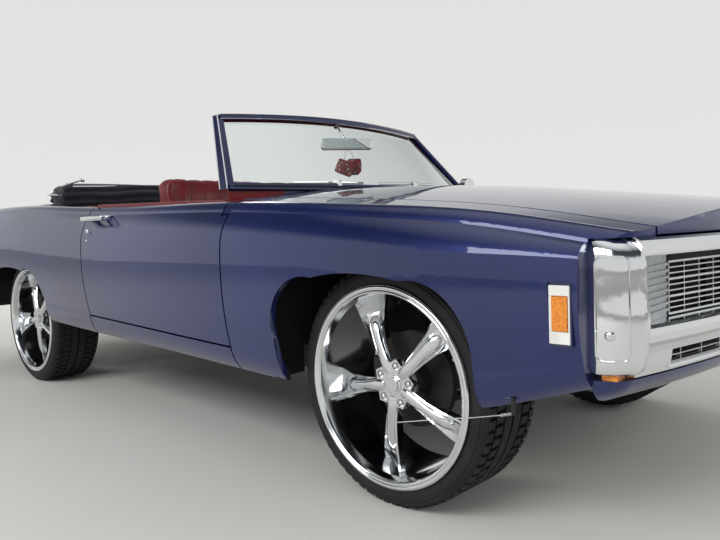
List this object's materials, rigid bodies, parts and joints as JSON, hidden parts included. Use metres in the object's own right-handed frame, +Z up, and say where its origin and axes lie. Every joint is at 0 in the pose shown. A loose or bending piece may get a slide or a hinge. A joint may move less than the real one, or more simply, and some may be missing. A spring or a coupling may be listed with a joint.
{
  "type": "two-door convertible car",
  "caption": "Full-size two-door convertible with folded soft top on large polished twisted-spoke wheels, loop bumper and hidden headlamps; doors, lids, wheels and steering move.",
  "frame": {"origin": "on the ground under the middle of the car's length and width", "axes": "+X forward, +Y to the car's left, +Z up"},
  "size_m": [5.482, 2.0296, 1.4351],
  "materials": {
    "paint": "gloss",
    "chrome": "polished",
    "rubber": "matte",
    "glass": "clear",
    "chassis_black": "satin",
    "cast": "rough",
    "steel": "brushed",
    "red_vinyl": "satin",
    "top_fabric": "matte",
    "grille_silver": "satin",
    "amber": "clear",
    "lens_red": "clear",
    "mirror_glass": "polished"
  },
  "bodies": {
    "chassis": {"frame_rails": "chassis_black", "floor_tub": "paint", "front_fender_right": "paint", "front_fender_left": "paint", "rear_quarters": "paint", "cowl_panel": "paint", "windshield_frame": "chrome", "windshield_glass": "glass", "dashboard": "red_vinyl", "steering_column": "chassis_black", "front_seat": "red_vinyl", "rear_seat": "red_vinyl", "folded_top": "top_fabric", "inside_mirror": "chrome", "front_bumper": "chrome", "front_valance": "paint", "grille": "grille_silver", "headlamp_covers": "grille_silver", "front_lamps": "amber", "rear_bumper": "chrome", "tail_lamps": "lens_red", "radiator": "chassis_black", "engine_block": "cast", "gearbox": "cast", "driveshaft": "steel", "rear_axle": "cast", "front_suspension": "chassis_black", "exhaust": "steel", "fuel_tank": "steel"},
    "knuckle_right": {"knuckle_right": "cast"},
    "knuckle_left": {"knuckle_left": "cast"},
    "wheel_front_right": {"rim_front_right": "chrome", "tyre_front_right": "rubber"},
    "wheel_front_left": {"rim_front_left": "chrome", "tyre_front_left": "rubber"},
    "wheel_rear_right": {"rim_rear_right": "chrome", "tyre_rear_right": "rubber"},
    "wheel_rear_left": {"rim_rear_left": "chrome", "tyre_rear_left": "rubber"},
    "door_right": {"door_right": "paint"},
    "door_left": {"door_left": "paint", "door_mirror": "chrome"},
    "hood": {"hood": "paint"},
    "trunk_lid": {"trunk_lid": "paint"},
    "steering_wheel": {"steering_wheel": "red_vinyl"}
  },
  "joints": [
    {"name": "steer_right", "type": "hinge", "parent": "chassis", "child": "knuckle_right", "pos_m": [1.822, -0.66, 0.386], "axis": [0, 0, 1], "range_deg": [-26, 26]},
    {"name": "steer_left", "type": "hinge", "parent": "chassis", "child": "knuckle_left", "pos_m": [1.822, 0.66, 0.386], "axis": [0, 0, 1], "range_deg": [-26, 26]},
    {"name": "spin_front_right", "type": "hinge", "parent": "knuckle_right", "child": "wheel_front_right", "pos_m": [1.822, -0.744, 0.386], "axis": [0, 1, 0], "continuous": true},
    {"name": "spin_front_left", "type": "hinge", "parent": "knuckle_left", "child": "wheel_front_left", "pos_m": [1.822, 0.744, 0.386], "axis": [0, 1, 0], "continuous": true},
    {"name": "spin_rear_right", "type": "hinge", "parent": "chassis", "child": "wheel_rear_right", "pos_m": [-1.201, -0.709, 0.386], "axis": [0, 1, 0], "continuous": true},
    {"name": "spin_rear_left", "type": "hinge", "parent": "chassis", "child": "wheel_rear_left", "pos_m": [-1.201, 0.709, 0.386], "axis": [0, 1, 0], "continuous": true},
    {"name": "door_right_hinge", "type": "hinge", "parent": "chassis", "child": "door_right", "pos_m": [1.099, -0.985, 0.76], "axis": [0, 0, 1], "range_deg": [0, 66]},
    {"name": "door_left_hinge", "type": "hinge", "parent": "chassis", "child": "door_left", "pos_m": [1.099, 0.985, 0.76], "axis": [0, 0, -1], "range_deg": [0, 66]},
    {"name": "hood_hinge", "type": "hinge", "parent": "chassis", "child": "hood", "pos_m": [1.176, 0, 1.074], "axis": [0, -1, 0], "range_deg": [0, 50]},
    {"name": "trunk_hinge", "type": "hinge", "parent": "chassis", "child": "trunk_lid", "pos_m": [-1.326, 0, 1.166], "axis": [0, 1, 0], "range_deg": [0, 70]},
    {"name": "steering_wheel_turn", "type": "hinge", "parent": "chassis", "child": "steering_wheel", "pos_m": [0.66, 0.37, 0.9], "axis": [-0.7986, 0, 0.6018], "range_deg": [-416, 416]}
  ],
  "couplings": [
    {"joint": "steer_left", "follows": "steer_right", "ratio": 1},
    {"joint": "steering_wheel_turn", "follows": "steer_right", "ratio": 16}
  ]
}
